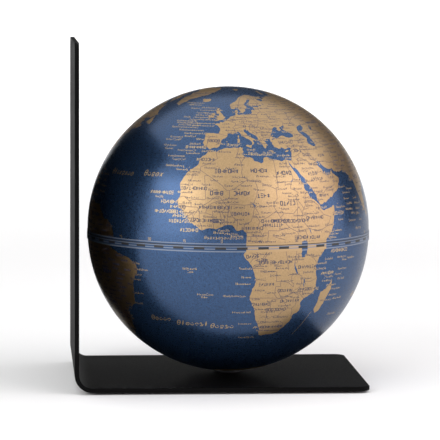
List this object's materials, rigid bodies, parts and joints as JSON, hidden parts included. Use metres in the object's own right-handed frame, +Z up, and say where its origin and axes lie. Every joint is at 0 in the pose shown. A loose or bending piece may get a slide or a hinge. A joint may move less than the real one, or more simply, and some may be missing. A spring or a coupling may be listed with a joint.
{
  "type": "globe bookend",
  "caption": "Bent steel L bookend carrying a small world globe that spins on a vertical pivot in its base.",
  "frame": {"origin": "on the table plane, on the underside of the base, under the globe's spin axis", "axes": "+Z up along the spin axis; the upright plate stands towards -X and the base runs towards +X; the base's front edge faces -Y"},
  "size_m": [0.1372, 0.1304, 0.1565],
  "materials": {
    "powder_coat": "satin",
    "pad_foam": "matte",
    "zinc_steel": "satin",
    "nylon": "satin",
    "map_print": "satin metallic",
    "tape_print": "satin",
    "moulded_plastic": "matte"
  },
  "bodies": {
    "stand": {"bracket": "powder_coat", "base_pad": "pad_foam", "pivot_screw": "zinc_steel", "thrust_washer": "nylon", "disc_spring": "zinc_steel", "plain_washer": "zinc_steel", "lock_nut": "zinc_steel"},
    "globe": {"north_shell": "map_print", "south_shell": "map_print", "equator_tape": "tape_print", "joiner_ring": "moulded_plastic", "pole_boss": "moulded_plastic", "pole_bush": "nylon"}
  },
  "joints": [
    {"name": "globe_spin", "type": "hinge", "parent": "stand", "child": "globe", "pos_m": [0, 0, 0.0702], "axis": [0, 0, 1], "continuous": true}
  ]
}
